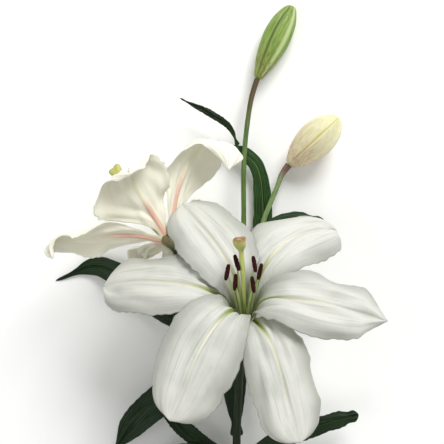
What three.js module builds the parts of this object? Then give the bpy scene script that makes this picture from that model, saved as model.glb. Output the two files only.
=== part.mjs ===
// A cut lily lying on a flat surface: one stem with four flower stalks, a flower that faces up, a flower
// that faces down, two buds and twelve leaves. Millimetres, +Z up, the stem runs along +Y.
import * as THREE from 'three';

// Driving dimensions: the stem and its stalks
const fitGap = 0.3; // clear space between two pieces that meet
const stemLength = 193; // from the slanted cut to the crown, where the stalks part
const stemRadius = 2.75;
const cutSlope = 0.8; // how far the cut face leans, as a rise over its width
const stalkRadius = 1.7;
const crownRadius = 2 * stalkRadius;

// Driving dimensions: the flowers
const tepalLength = 119;
const innerHalfWidth = 24;
const outerHalfWidth = 21;
const tepalThickness = 1.3;
const tepalRib = 0.5; // how far the midrib stands out on the back
const clawThickness = 0.8; // at the narrow foot of a tepal
const clawHalfWidth = 1.8;
const ovaryBaseRadius = 1.2;
const ovaryRadius = 2;
const styleRadius = 1.1;
const stigmaRadius = 3.8;
const filamentFootRadius = 0.5;
const filamentRadius = 0.8;
const antherLength = 11.5;
const antherRadius = 1.35;

// Driving dimensions: the buds and the leaves
const greenBudLength = 56;
const greenBudRadius = 9.5;
const creamBudLength = 47;
const creamBudRadius = 12.5;
const leafThickness = 1;

// What stands on a flower's foot is packed in rings about its axis, each clear of the one inside it
const filamentRing = ovaryBaseRadius + fitGap + filamentFootRadius;
const innerTepalRing = filamentRing + filamentFootRadius + fitGap + clawThickness / 2;
const outerTepalRing = innerTepalRing + clawThickness + fitGap;
const receptacleRadius = outerTepalRing + clawThickness / 2;

const point = (x, y, z) => new THREE.Vector3(x, y, z);
const radians = THREE.MathUtils.degToRad;
const rise = (u, from, to) => THREE.MathUtils.smoothstep(u, from, to);

// Smooth value at u between stops, each of them [position, value]
function graded(stops, u) {
  let next = 1;
  while (next < stops.length - 1 && u > stops[next][0]) {
    next += 1;
  }
  const slope = (index) => {
    const before = stops[Math.max(index - 1, 0)];
    const after = stops[Math.min(index + 1, stops.length - 1)];
    return (after[1] - before[1]) / (after[0] - before[0]);
  };
  const [startAt, startValue] = stops[next - 1];
  const [endAt, endValue] = stops[next];
  const span = endAt - startAt;
  const t = (u - startAt) / span;
  const endWeight = t * t * (3 - 2 * t);
  const bend = t * (1 - t) * span * ((1 - t) * slope(next - 1) - t * slope(next));
  return startValue * (1 - endWeight) + endValue * endWeight + bend;
}

// Closed skin over rings of equally many points, drawn together to a point at each end
function closedSkin(rings, startPoint, endPoint) {
  const sides = rings[0].length;
  const corners = rings.flat().concat([startPoint, endPoint]);
  const startIndex = corners.length - 2;
  const endIndex = corners.length - 1;
  const lastRing = (rings.length - 1) * sides;
  const faces = [];
  for (let side = 0; side < sides; side += 1) {
    const nextSide = (side + 1) % sides;
    faces.push([startIndex, nextSide, side]);
    faces.push([endIndex, lastRing + side, lastRing + nextSide]);
    for (let ring = 0; ring < rings.length - 1; ring += 1) {
      const low = ring * sides;
      const high = low + sides;
      faces.push([low + side, low + nextSide, high + nextSide]);
      faces.push([low + side, high + nextSide, high + side]);
    }
  }
  const volume = faces.reduce((sum, [a, b, c]) => {
    const crossed = corners[b].clone().cross(corners[c]);
    return sum + corners[a].dot(crossed);
  }, 0);
  if (volume < 0) {
    faces.forEach((face) => face.reverse());
  }
  const geometry = new THREE.BufferGeometry().setFromPoints(corners);
  geometry.setIndex(faces.flat());
  geometry.computeVertexNormals();
  return geometry;
}

// Round rings along a curve, with radiusAt(along, angle) and the frames carried without twist
function roundRings(curve, ringCount, sides, radiusAt) {
  const frames = curve.computeFrenetFrames(ringCount - 1, false);
  return Array.from({ length: ringCount }, (_, ring) => {
    const along = ring / (ringCount - 1);
    const centre = curve.getPointAt(along);
    return Array.from({ length: sides }, (_, side) => {
      const angle = (2 * Math.PI * side) / sides;
      const radius = radiusAt(along, angle);
      return centre
        .clone()
        .addScaledVector(frames.normals[ring], radius * Math.cos(angle))
        .addScaledVector(frames.binormals[ring], radius * Math.sin(angle));
    });
  });
}

function middleOf(ring) {
  return ring.reduce((sum, corner) => sum.add(corner), point(0, 0, 0)).divideScalar(ring.length);
}

function tubeSkin(curve, ringCount, sides, radiusAt) {
  const rings = roundRings(curve, ringCount, sides, radiusAt);
  return closedSkin(rings, middleOf(rings[0]), middleOf(rings[ringCount - 1]));
}

// A flat blade's ring: across its width, over the face that side x along turns to, and back underneath
const bladeColumns = 7;
function bladeRing({ centre, across, face, halfWidth, curl, thickness, rib }) {
  const upper = [];
  const lower = [];
  for (let column = 0; column < bladeColumns; column += 1) {
    const share = (2 * column) / (bladeColumns - 1) - 1;
    const turn = curl * share * halfWidth;
    const bend = Math.abs(curl) < 1e-4 ? 0 : (1 - Math.cos(turn)) / curl;
    const reach = Math.abs(curl) < 1e-4 ? share * halfWidth : Math.sin(turn) / curl;
    const middle = centre.clone().addScaledVector(across, reach).addScaledVector(face, bend);
    const outward = face.clone().multiplyScalar(Math.cos(turn))
      .addScaledVector(across, -Math.sin(turn));
    const isRim = column === 0 || column === bladeColumns - 1;
    const half = isRim ? 0 : (thickness / 2) * (1 - 0.35 * Math.abs(share));
    const keel = column === (bladeColumns - 1) / 2 ? rib : 0;
    upper.push(middle.clone().addScaledVector(outward, half));
    if (!isRim) {
      lower.unshift(middle.clone().addScaledVector(outward, -half - keel));
    }
  }
  return upper.concat(lower);
}

// ---- Flower places and directions ----

// A flower's own frame: it opens along axis, and turns are counted from side towards up
function flowerFrame(base, axis, side) {
  const along = axis.clone().normalize();
  const across = side.clone().addScaledVector(along, -side.dot(along)).normalize();
  return { base, axis: along, side: across, up: along.clone().cross(across) };
}

const mainBase = point(0, -3, 67);
const mainFrame = flowerFrame(mainBase, point(0, 0.53, 0.848), point(1, 0, 0));

// The side flower stands clear of the main one's tepals, so it moves out as they grow
const sideBase = point(-0.412, 0.454, 0.059).multiplyScalar(tepalLength).add(mainBase);
const sideFrame = flowerFrame(sideBase, point(-0.47, 0.63, -0.62), point(-0.8, -0.6, 0));

// How each flower opens: the lean of its funnel and the stretch of a tepal over which it spreads
mainFrame.opening = { funnelLean: 15, from: 0.18, to: 0.54 };
sideFrame.opening = { funnelLean: 38, from: 0.08, to: 0.36 };

function inFlower(frame, [sideways, upwards, outwards]) {
  return frame.base
    .clone()
    .addScaledVector(frame.side, sideways)
    .addScaledVector(frame.up, upwards)
    .addScaledVector(frame.axis, outwards);
}

function ringPlace(radius, turn, height) {
  return [radius * Math.cos(turn), radius * Math.sin(turn), height];
}

// ---- Stem, crown and stalks ----

const crown = point(-1, -8, 24);
const stemDrift = 4; // how far the cut end lies to the side of the crown
const stemBow = 1.5;

const stemCurve = new THREE.CatmullRomCurve3(
  [0, 0.3, 0.6, 0.85, 1].map((share) => {
    const left = 1 - share;
    const bow = stemBow * Math.sin(Math.PI * share);
    const height = stemRadius + (crown.z - stemRadius) * share;
    return point(crown.x - stemDrift * left - bow, crown.y - stemLength * left, height + bow);
  })
);

function stemSkin() {
  const swelling = crownRadius - stemRadius;
  const rings = roundRings(stemCurve, 16, 10, (along) => stemRadius + swelling * rise(along, 0.9, 1));
  rings[0].forEach((corner) => {
    corner.y += cutSlope * (corner.z - stemRadius);
  });
  const top = crown.clone().addScaledVector(stemCurve.getTangentAt(1), crownRadius / 2);
  return closedSkin(rings, middleOf(rings[0]), top);
}

// A stalk leaves the crown along direction, runs through the points and flares to endRadius
function stalkSkin({ direction, through, endRadius }) {
  const start = crown.clone().addScaledVector(direction.clone().normalize(), crownRadius + fitGap);
  const curve = new THREE.CatmullRomCurve3([start, ...through]);
  const flare = endRadius - stalkRadius;
  return tubeSkin(curve, 14, 8, (along) => stalkRadius + flare * rise(along, 0.86, 1));
}

const flowerStalkApproach = 9; // the last stretch of a flower's stalk is in line with its axis

function stalkIntoFlower(frame, direction, through) {
  const approach = inFlower(frame, [0, 0, -flowerStalkApproach]);
  const endRadius = receptacleRadius;
  return stalkSkin({ direction, through: [...through, approach, frame.base], endRadius });
}

// ---- Buds ----

// A bud stands on its stalk's end, with six low ridges along it
const budRidge = 0.05;
const budOutline = [
  [0, 0.2], [0.06, 0.4], [0.2, 0.68], [0.45, 0.97],
  [0.65, 1], [0.85, 0.76], [0.96, 0.38], [1, 0.12],
];

function budSkin({ base, tip, length, radius }) {
  const direction = tip.clone().sub(base).normalize();
  const foot = base.clone().addScaledVector(direction, 2 * fitGap);
  const end = foot.clone().addScaledVector(direction, length);
  const curve = new THREE.LineCurve3(foot, end);
  return tubeSkin(curve, 11, 12, (along, angle) => {
    const ridge = 1 + budRidge * Math.cos(6 * angle);
    return radius * graded(budOutline, along) * ridge;
  });
}

const budStalkApproach = 4; // the last stretch of a bud's stalk is in line with the bud

function stalkIntoBud(bud, direction, through) {
  const forward = bud.tip.clone().sub(bud.base).normalize();
  const approach = bud.base.clone().addScaledVector(forward, -budStalkApproach);
  const endRadius = bud.radius * budOutline[0][1];
  return stalkSkin({ direction, through: [...through, approach, bud.base], endRadius });
}

const greenBud = {
  base: point(10, 161, 13), tip: point(35, 213, 8.6),
  length: greenBudLength, radius: greenBudRadius,
};
const creamBud = {
  base: point(32, 102, 11.5), tip: point(63, 131, 24),
  length: creamBudLength, radius: creamBudRadius,
};

// ---- Tepals: the six petal-like leaves of a flower, three inner and three outer ----

const tepalRings = 14;
const footHeight = 2 * fitGap; // where the rings of a tepal begin above the stalk's end
const tepalOutline = [
  [0, 0], [0.14, 0.16], [0.3, 0.48], [0.45, 0.82], [0.6, 1],
  [0.75, 0.93], [0.88, 0.64], [0.96, 0.34], [1, 0.1],
];

const whorls = {
  inner: { ring: innerTepalRing, halfWidth: innerHalfWidth, extraLean: 0, earlier: 0 },
  outer: { ring: outerTepalRing, halfWidth: outerHalfWidth, extraLean: 5, earlier: 0.07 },
};

// Angles in degrees: turn is the place round the flower, swing bends the blade sideways round it, spread is
// the lean from the flower's axis once it has opened, recurve is what the tip adds to that from curlsFrom on,
// and twist turns the blade about its own length
function tepalSkin(frame, tepal) {
  const { whorl, turn, swing, spread, recurve, hollow } = tepal;
  const { stretch = 1, widen = 1, twist = 0, curlsFrom = 0.45 } = tepal;
  const { ring, halfWidth, extraLean, earlier } = whorls[whorl];
  const { opening } = frame;
  const length = tepalLength * stretch;
  const startLean = opening.funnelLean + extraLean;
  const leanAt = (u) =>
    radians(
      startLean
        + (spread - startLean) * rise(u, opening.from - earlier, opening.to)
        + recurve * rise(u, curlsFrom, 1),
    );
  const turnAt = (u) => radians(turn + swing * rise(u, 0.25, 1));
  const fineSteps = 8;
  let radius = ring;
  let height = footHeight;
  const rings = [];
  for (let step = 0; step <= (tepalRings - 1) * fineSteps; step += 1) {
    const u = step / ((tepalRings - 1) * fineSteps);
    const lean = leanAt(u);
    if (step % fineSteps === 0) {
      const around = turnAt(u);
      const outward = frame.side.clone().multiplyScalar(Math.cos(around))
        .addScaledVector(frame.up, Math.sin(around));
      const forward = frame.axis.clone().multiplyScalar(Math.cos(lean))
        .addScaledVector(outward, Math.sin(lean));
      const twisted = radians(twist * rise(u, 0.15, 0.8));
      const across = frame.axis.clone().cross(outward).applyAxisAngle(forward, twisted);
      const face = across.clone().cross(forward).negate();
      const wrapped = Math.max(Math.cos(lean), 0) / radius;
      const opened = rise(u, opening.to - 0.12, opening.to + 0.2);
      rings.push(
        bladeRing({
          centre: inFlower(frame, ringPlace(radius, around, height)),
          across,
          face,
          halfWidth: clawHalfWidth + (halfWidth * widen - clawHalfWidth) * graded(tepalOutline, u),
          curl: wrapped * (1 - opened) + (hollow / halfWidth) * opened,
          thickness: clawThickness + (tepalThickness - clawThickness) * rise(u, 0.1, 0.3),
          rib: tepalRib * rise(u, 0.1, 0.3),
        })
      );
    }
    const stepLength = length / ((tepalRings - 1) * fineSteps);
    radius += stepLength * Math.sin(lean);
    height += stepLength * Math.cos(lean);
  }
  const last = rings[rings.length - 1];
  const beforeLast = rings[rings.length - 2];
  const forward = middleOf(last).sub(middleOf(beforeLast)).normalize();
  const tip = middleOf(last).addScaledVector(forward, 1.5);
  return closedSkin(rings, middleOf(rings[0]), tip);
}

const mainTepals = {
  inner_1: {
    whorl: 'inner', turn: 114, swing: 8, spread: 76, recurve: 20,
    hollow: -0.15, stretch: 0.81,
  },
  inner_2: {
    whorl: 'inner', turn: -14, swing: 1, spread: 84, recurve: 20,
    hollow: -0.5, stretch: 0.97, widen: 0.94,
  },
  inner_3: {
    whorl: 'inner', turn: 232, swing: 8, spread: 100, recurve: 18,
    hollow: -0.4, widen: 1.12,
  },
  outer_1: {
    whorl: 'outer', turn: 60, swing: -15, spread: 88, recurve: 52,
    hollow: -0.4, stretch: 0.93, widen: 1.14,
  },
  outer_2: {
    whorl: 'outer', turn: 169, swing: 0, spread: 94, recurve: 34,
    hollow: -0.4, stretch: 0.95, widen: 1.08,
  },
  outer_3: {
    whorl: 'outer', turn: 296, swing: -6, spread: 104, recurve: 10,
    hollow: -0.5, stretch: 0.96, widen: 1.04,
  },
};

const sideTepals = {
  inner_1: {
    whorl: 'inner', turn: 97, swing: 0, spread: 61, recurve: 100,
    hollow: -0.2, stretch: 0.55, widen: 0.97, curlsFrom: 0.6,
  },
  inner_2: {
    whorl: 'inner', turn: 220, swing: 0, spread: 62, recurve: 60,
    hollow: -0.1, stretch: 0.36, widen: 0.7,
  },
  inner_3: {
    whorl: 'inner', turn: 306, swing: 0, spread: 52, recurve: 30,
    hollow: -0.1, stretch: 0.36, widen: 0.7,
  },
  outer_1: {
    whorl: 'outer', turn: 27, swing: 3, spread: 70, recurve: 105,
    hollow: -0.5, stretch: 0.73, twist: -30, curlsFrom: 0.66,
  },
  outer_2: {
    whorl: 'outer', turn: 274, swing: 0, spread: 90, recurve: 60,
    hollow: -0.2, stretch: 0.5, widen: 0.8,
  },
  outer_3: {
    whorl: 'outer', turn: 156, swing: 11, spread: 60, recurve: 160,
    hollow: -0.4, stretch: 0.8, twist: 16, curlsFrom: 0.48,
  },
};

// ---- Pistil and stamens ----

// Ovary, style and a three-lobed stigma as one growth; tip is in the flower's frame
const ovaryShare = 0.28;

function pistilSkin(frame, tip) {
  const [sideways, upwards, outwards] = tip;
  const curve = new THREE.CatmullRomCurve3([
    inFlower(frame, [0, 0, fitGap]),
    inFlower(frame, [0, 0, outwards * 0.3]),
    inFlower(frame, [sideways * 0.3, upwards * 0.3, outwards * 0.62]),
    inFlower(frame, tip),
  ]);
  const lobe = 0.18;
  return tubeSkin(curve, 20, 12, (along, angle) => {
    const ovary = ovaryBaseRadius + (ovaryRadius - ovaryBaseRadius) * rise(along, 0, 0.1);
    const ovaryEnds = rise(along, ovaryShare - 0.06, ovaryShare + 0.02);
    const style = styleRadius + (ovary - styleRadius) * (1 - ovaryEnds);
    const flare = rise(along, 0.88, 0.97);
    return style + (stigmaRadius * (1 + lobe * Math.cos(3 * angle)) - style) * flare;
  });
}

function antherAxis(frame, lean) {
  return frame.up.clone().addScaledVector(frame.side, Math.sin(radians(lean))).normalize();
}

function antherSkin(frame, { centre, lean }) {
  const middle = inFlower(frame, centre);
  const half = antherAxis(frame, lean).multiplyScalar(antherLength / 2);
  const curve = new THREE.LineCurve3(middle.clone().sub(half), middle.clone().add(half));
  return tubeSkin(curve, 8, 8, (along) => {
    const roundEnds = Math.max(1 - Math.pow(2 * along - 1, 4), 0.12);
    return antherRadius * Math.sqrt(roundEnds);
  });
}

// A filament stands in front of a tepal's foot and ends a gap below the middle of its anther
function filamentSkin(frame, { turn, centre }) {
  const foot = ringPlace(filamentRing, radians(turn), fitGap);
  const stance = ringPlace(filamentRing * 1.9, radians(turn), antherLength);
  const [sideways, upwards, outwards] = centre;
  const end = [sideways, upwards, outwards - antherRadius - fitGap];
  const half = [(stance[0] + end[0]) * 0.45, (stance[1] + end[1]) * 0.42, outwards * 0.6];
  const places = [foot, stance, half, end].map((place) => inFlower(frame, place));
  const curve = new THREE.CatmullRomCurve3(places);
  return tubeSkin(curve, 10, 7, (along) => {
    const grown = filamentFootRadius + (filamentRadius - filamentFootRadius) * rise(along, 0.1, 0.3);
    return grown - (filamentRadius / 2) * rise(along, 0.7, 1);
  });
}

// Anther centres in the flower's frame, each on the filament that stands at turn
const mainStamens = [
  { turn: 0, centre: [9.5, 10.5, 48], lean: 12 },
  { turn: 60, centre: [6, 13, 53], lean: -8 },
  { turn: 120, centre: [-5, 14, 53], lean: -14 },
  { turn: 180, centre: [-11, 10, 48], lean: 10 },
  { turn: 240, centre: [-6, 2, 49.5], lean: 4 },
  { turn: 300, centre: [5, 0, 50], lean: -6 },
];
const mainPistilTip = [-3, 22, 68];

const sideStamenReach = 9;
const sideStamenDroop = 7;
const sideStamens = [0, 60, 120, 180, 240, 300].map((turn) => {
  const [sideways, upwards, outwards] = ringPlace(sideStamenReach, radians(turn), 50);
  return { turn, centre: [sideways, upwards - sideStamenDroop, outwards], lean: turn / 20 };
});
const sidePistilTip = [2, 6, 72];

// ---- Leaves ----

// A leaf springs from the stem at stemShare (0 at the cut, 1 at the crown), on the side that direction
// points to, and runs through the points, which a stem leaf counts from where it springs; face is the
// way its upper side looks
const leafOutline = [
  [0, 0.3], [0.1, 0.42], [0.3, 0.85], [0.5, 1],
  [0.7, 0.88], [0.88, 0.5], [0.97, 0.2], [1, 0.06],
];

function leafSkin({ start, through, face, halfWidth, fold }) {
  const curve = new THREE.CatmullRomCurve3([start, ...through]);
  const ringCount = 15;
  const rings = Array.from({ length: ringCount }, (_, index) => {
    const along = index / (ringCount - 1);
    const forward = curve.getTangentAt(along);
    const across = forward.clone().cross(face).normalize();
    return bladeRing({
      centre: curve.getPointAt(along),
      across,
      face: across.clone().cross(forward).normalize(),
      halfWidth: halfWidth * graded(leafOutline, along),
      curl: fold / halfWidth,
      thickness: leafThickness,
      rib: leafThickness * 0.4,
    });
  });
  return closedSkin(rings, middleOf(rings[0]), middleOf(rings[ringCount - 1]));
}

function stemLeafSkin({ stemShare, direction, ...leaf }) {
  const stemSurface = stemRadius + (crownRadius - stemRadius) * rise(stemShare, 0.9, 1);
  const clearance = stemSurface + leaf.halfWidth * 0.3 + fitGap;
  const side = direction.clone().normalize();
  const start = stemCurve.getPointAt(stemShare).addScaledVector(side, clearance);
  const through = leaf.through.map((offset) => offset.clone().add(start));
  return leafSkin({ ...leaf, start, through });
}

const upwards = point(0, 0, 1);
const stemLeaves = [
  {
    stemShare: 0.9, direction: point(0.2, 0, -1),
    through: [point(7, 47, -10), point(15, 98, -9), point(8, 132, -8), point(-23, 145, -6)],
    face: upwards, halfWidth: 6.5, fold: 0.4,
  },
  {
    stemShare: 0.96, direction: point(0.9, 0.2, -0.6),
    through: [point(7, 43, -8), point(22, 74, -9), point(54, 76, -11)],
    face: upwards, halfWidth: 9, fold: 0.3,
  },
  {
    stemShare: 0.95, direction: point(-1, 0.2, -0.2),
    through: [point(-33, 10, -6), point(-68, 34, -13), point(-93, 48, -17), point(-123, 38, -21)],
    face: upwards, halfWidth: 9, fold: 0.3,
  },
  {
    stemShare: 0.88, direction: point(-1, 0, 0),
    through: [point(-20, -5, 1), point(-45, -25, 0), point(-65, -43, -4), point(-83, -69, -12)],
    face: upwards, halfWidth: 11, fold: 0.3,
  },
  {
    stemShare: 0.6, direction: point(0, 0, -1),
    through: [point(-2, 35, -4), point(-5, 73, -3), point(-9, 97, -5)],
    face: upwards, halfWidth: 9, fold: 0.3,
  },
  {
    stemShare: 0.55, direction: point(-1, 0.2, 0),
    through: [point(-13, 2, -1), point(-31, 14, 0), point(-51, 34, -6)],
    face: upwards, halfWidth: 6, fold: 0.3,
  },
  {
    stemShare: 0.48, direction: point(-1, 0, 0),
    through: [point(-20, 11, 3), point(-42, 8, 3), point(-64, -5, -1)],
    face: upwards, halfWidth: 8, fold: 0.3,
  },
  {
    stemShare: 0.53, direction: point(1, 0, 0),
    through: [point(19, 11, 7), point(45, 21, 10), point(78, 30, 9)],
    face: upwards, halfWidth: 7, fold: 0.3,
  },
  {
    stemShare: 0.36, direction: point(1, 0, 0),
    through: [point(27, 10, 8), point(49, 20, 8), point(71, 22, 2)],
    face: upwards, halfWidth: 8, fold: 0.3,
  },
  {
    stemShare: 0.26, direction: point(-1, 0, 0),
    through: [point(-24, 4, 9), point(-49, 1, 5), point(-73, -15, -3)],
    face: upwards, halfWidth: 8.5, fold: 0.3,
  },
  {
    stemShare: 0.15, direction: point(1, 0, 0),
    through: [point(26, 0, 7), point(44, -8, 3), point(62, -24, -4)],
    face: upwards, halfWidth: 7.5, fold: 0.3,
  },
];

// The twelfth leaf is a small bract on the green bud's stalk
const bract = {
  start: point(-3.5, 115, 19),
  through: [point(-9, 127, 21), point(-23, 137, 22), point(-43, 147, 21)],
  face: point(0.4, -0.5, 0.8), halfWidth: 2.5, fold: 0.3,
};

// ---- Assembly ----

function coloured(colour, roughness) {
  return new THREE.MeshStandardMaterial({ color: colour, roughness, metalness: 0 });
}

const materials = {
  stem: coloured('#5f7a3c', 0.5),
  stalk: coloured('#6d7f45', 0.5),
  leaf: coloured('#24401f', 0.45),
  petal: coloured('#f1f1e8', 0.55),
  greenBud: coloured('#9cab62', 0.5),
  creamBud: coloured('#dcd5a8', 0.5),
  pistil: coloured('#93a047', 0.5),
  filament: coloured('#b3bd88', 0.5),
  anther: coloured('#4a1710', 0.85),
};

const lily = new THREE.Group();

function add(name, geometry, material) {
  const mesh = new THREE.Mesh(geometry, material);
  mesh.name = name;
  lily.add(mesh);
}

function addFlower(prefix, frame, tepals, stamens, pistilTip) {
  for (const [name, tepal] of Object.entries(tepals)) {
    add(`${prefix}_tepal_${name}`, tepalSkin(frame, tepal), materials.petal);
  }
  add(`${prefix}_pistil`, pistilSkin(frame, pistilTip), materials.pistil);
  stamens.forEach((stamen, index) => {
    add(`${prefix}_filament_${index + 1}`, filamentSkin(frame, stamen), materials.filament);
    add(`${prefix}_anther_${index + 1}`, antherSkin(frame, stamen), materials.anther);
  });
}

add('stem', stemSkin(), materials.stem);
add('stalk_main_flower', stalkIntoFlower(mainFrame, point(0, 0.15, 1), []), materials.stalk);
const sideStalkRoute = [point(-20, 8, 36), point(-38, 28, 58)];
const sideStalk = stalkIntoFlower(sideFrame, point(-0.85, 0.35, 0.35), sideStalkRoute);
add('stalk_side_flower', sideStalk, materials.stalk);
const greenStalkRoute = [point(0.5, 60, 22), point(0.5, 98, 21), point(1.7, 118, 18), point(4.5, 140, 15)];
const creamStalkRoute = [point(8, 20, 25), point(10, 47, 24), point(14, 63, 21), point(23, 85, 16)];
add('stalk_green_bud', stalkIntoBud(greenBud, point(0.05, 1, -0.1), greenStalkRoute), materials.stalk);
add('stalk_cream_bud', stalkIntoBud(creamBud, point(0.95, 0.3, 0), creamStalkRoute), materials.stalk);
add('green_bud', budSkin(greenBud), materials.greenBud);
add('cream_bud', budSkin(creamBud), materials.creamBud);
stemLeaves.forEach((leaf, index) => add(`leaf_${index + 1}`, stemLeafSkin(leaf), materials.leaf));
add('bract', leafSkin(bract), materials.leaf);
addFlower('main', mainFrame, mainTepals, mainStamens, mainPistilTip);
addFlower('side', sideFrame, sideTepals, sideStamens, sidePistilTip);

// The origin is the middle of the bounding box's underside
const bounds = new THREE.Box3().setFromObject(lily);
const boundsMiddle = bounds.getCenter(point(0, 0, 0));
lily.position.set(-boundsMiddle.x, -boundsMiddle.y, -bounds.min.z);

export default lily;
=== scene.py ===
import math

import bmesh
import bpy
import numpy as np
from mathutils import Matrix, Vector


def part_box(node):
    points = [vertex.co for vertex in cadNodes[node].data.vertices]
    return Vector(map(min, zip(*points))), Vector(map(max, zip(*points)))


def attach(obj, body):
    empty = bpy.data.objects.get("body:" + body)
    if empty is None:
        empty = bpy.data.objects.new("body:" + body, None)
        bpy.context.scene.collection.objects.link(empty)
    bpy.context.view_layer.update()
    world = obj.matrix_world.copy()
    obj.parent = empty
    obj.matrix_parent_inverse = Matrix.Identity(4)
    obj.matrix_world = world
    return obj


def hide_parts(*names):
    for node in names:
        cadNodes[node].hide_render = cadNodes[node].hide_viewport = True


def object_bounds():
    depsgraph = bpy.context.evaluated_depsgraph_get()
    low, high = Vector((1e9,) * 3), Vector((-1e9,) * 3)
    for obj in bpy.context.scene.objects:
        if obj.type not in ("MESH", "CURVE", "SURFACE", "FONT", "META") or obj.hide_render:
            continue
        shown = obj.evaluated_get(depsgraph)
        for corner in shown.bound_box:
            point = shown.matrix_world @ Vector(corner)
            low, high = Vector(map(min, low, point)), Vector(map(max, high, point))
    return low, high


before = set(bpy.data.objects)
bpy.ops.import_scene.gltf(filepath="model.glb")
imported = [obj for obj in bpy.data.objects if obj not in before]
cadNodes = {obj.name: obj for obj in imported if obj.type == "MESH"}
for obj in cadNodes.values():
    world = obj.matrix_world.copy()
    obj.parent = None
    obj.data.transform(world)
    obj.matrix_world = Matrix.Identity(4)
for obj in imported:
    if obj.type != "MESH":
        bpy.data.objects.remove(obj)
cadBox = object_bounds()
mm = 0.001
print("frame loaded:", len(cadNodes), "nodes")


# a smooth step from 0 at low to 1 at high
def rise(value, low, high):
    share = np.clip((np.asarray(value, float) - low) / (high - low), 0, 1)
    return share * share * (3 - 2 * share)


# a few slow waves added up, about -1 to 1, the same each time for one seed
def waves(at, seed, slowest, fastest, tones=5):
    chance = np.random.RandomState(seed)
    total = np.zeros_like(np.asarray(at, float))
    for _ in range(tones):
        total = total + np.sin(2 * math.pi * (chance.uniform(slowest, fastest) * at + chance.rand()))
    return total / math.sqrt(tones)


# a natural cubic curve through values at knots, read at the places in at
def spline(knots, values, at):
    values = np.asarray(values, float)
    flat = values.reshape(len(knots), -1)
    gaps = np.diff(knots)
    system = np.eye(len(knots))
    right = np.zeros_like(flat)
    for i in range(1, len(knots) - 1):
        system[i, i - 1:i + 2] = gaps[i - 1], 2 * (gaps[i - 1] + gaps[i]), gaps[i]
        right[i] = 6 * ((flat[i + 1] - flat[i]) / gaps[i] - (flat[i] - flat[i - 1]) / gaps[i - 1])
    bend = np.linalg.solve(system, right)
    cell = np.clip(np.searchsorted(knots, at, side="right") - 1, 0, len(knots) - 2)
    gap = gaps[cell][:, None]
    ahead = (knots[cell + 1] - at)[:, None]
    behind = (at - knots[cell])[:, None]
    result = (bend[cell] * ahead ** 3 + bend[cell + 1] * behind ** 3) / (6 * gap)
    result += (flat[cell] / gap - bend[cell] * gap / 6) * ahead
    result += (flat[cell + 1] / gap - bend[cell + 1] * gap / 6) * behind
    return result.reshape((len(at),) + values.shape[1:])


# how far along a stack of rings each one lies
def runOf(stack):
    return np.append(0, np.cumsum(np.linalg.norm(np.diff(stack, axis=0), axis=2).mean(axis=1)))


def placesOf(name):
    mesh = cadNodes[name].data
    places = np.empty(len(mesh.vertices) * 3)
    mesh.vertices.foreach_get("co", places)
    return places.reshape(-1, 3)


# the rings a node was lofted from, in order from the end nearest to another node, with its two end points
def ringsOf(name, sides, parent):
    work = bmesh.new()
    work.from_mesh(cadNodes[name].data)
    bmesh.ops.remove_doubles(work, verts=work.verts, dist=3e-6)
    work.verts.index_update()
    places = np.array([vertex.co[:] for vertex in work.verts])
    beside = [[edge.other_vert(vertex).index for edge in vertex.link_edges] for vertex in work.verts]
    work.free()
    ends = [index for index, others in enumerate(beside) if len(others) == sides]
    near = placesOf(parent)
    ends.sort(key=lambda index: np.linalg.norm(near - places[index], axis=1).min())
    foot, tip = ends
    seen = {foot, tip}
    ring = set(beside[foot])
    rings = []
    while ring:
        path = [min(ring)]
        while len(path) < sides:
            path.append([index for index in beside[path[-1]] if index in ring and index not in path][0])
        loop = places[path]
        if rings:
            turns = [np.roll(way, shift, axis=0) for way in (loop, loop[::-1]) for shift in range(sides)]
            loop = min(turns, key=lambda turn: ((turn - rings[-1]) ** 2).sum())
        rings.append(loop)
        seen |= ring
        ring = {index for other in ring for index in beside[other]} - seen
    return np.array(rings), places[foot], places[tip]


# quads over a grid of vertex numbers, with the grid's own coordinates as the texture's
def addSheet(faces, corners, ids, rows, columns, turned=False):
    for i in range(ids.shape[0] - 1):
        for j in range(ids.shape[1] - 1):
            around = [(i, j), (i + 1, j), (i + 1, j + 1), (i, j + 1)]
            if turned:
                around.reverse()
            face = []
            for row, column in around:
                if ids[row, column] not in face:
                    face.append(int(ids[row, column]))
                    corners.append((rows[row], columns[column]))
            faces.append(face)


def makePiece(name, places, faces, corners, marks, material):
    mesh = bpy.data.meshes.new(name)
    mesh.from_pydata(places.tolist(), [], faces)
    mesh.uv_layers.new(name="UVMap").data.foreach_set("uv", np.array(corners, np.float32).ravel())
    for mark, values in marks.items():
        values = np.asarray(values, np.float32)
        plain = values.ndim == 1
        layer = mesh.attributes.new(mark, "FLOAT" if plain else "FLOAT_VECTOR", "POINT")
        layer.data.foreach_set("value" if plain else "vector", values.ravel())
    mesh.shade_smooth()
    mesh.materials.append(material)
    piece = bpy.data.objects.new(name, mesh)
    bpy.context.scene.collection.objects.link(piece)
    return piece


def keepPiece(piece, slot, *replaced):
    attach(piece, "root")
    if replaced:
        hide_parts(*replaced)
    return piece


def unit(vectors):
    return vectors / (np.linalg.norm(vectors, axis=-1, keepdims=True) + 1e-12)


# numbers for a rows by columns grid whose first and last rows are single points
def gridIds(rows, columns):
    ids = np.zeros((rows, columns), int)
    ids[1:-1] = 2 + np.arange((rows - 2) * columns).reshape(rows - 2, columns)
    ids[-1] = 1
    return ids


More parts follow.
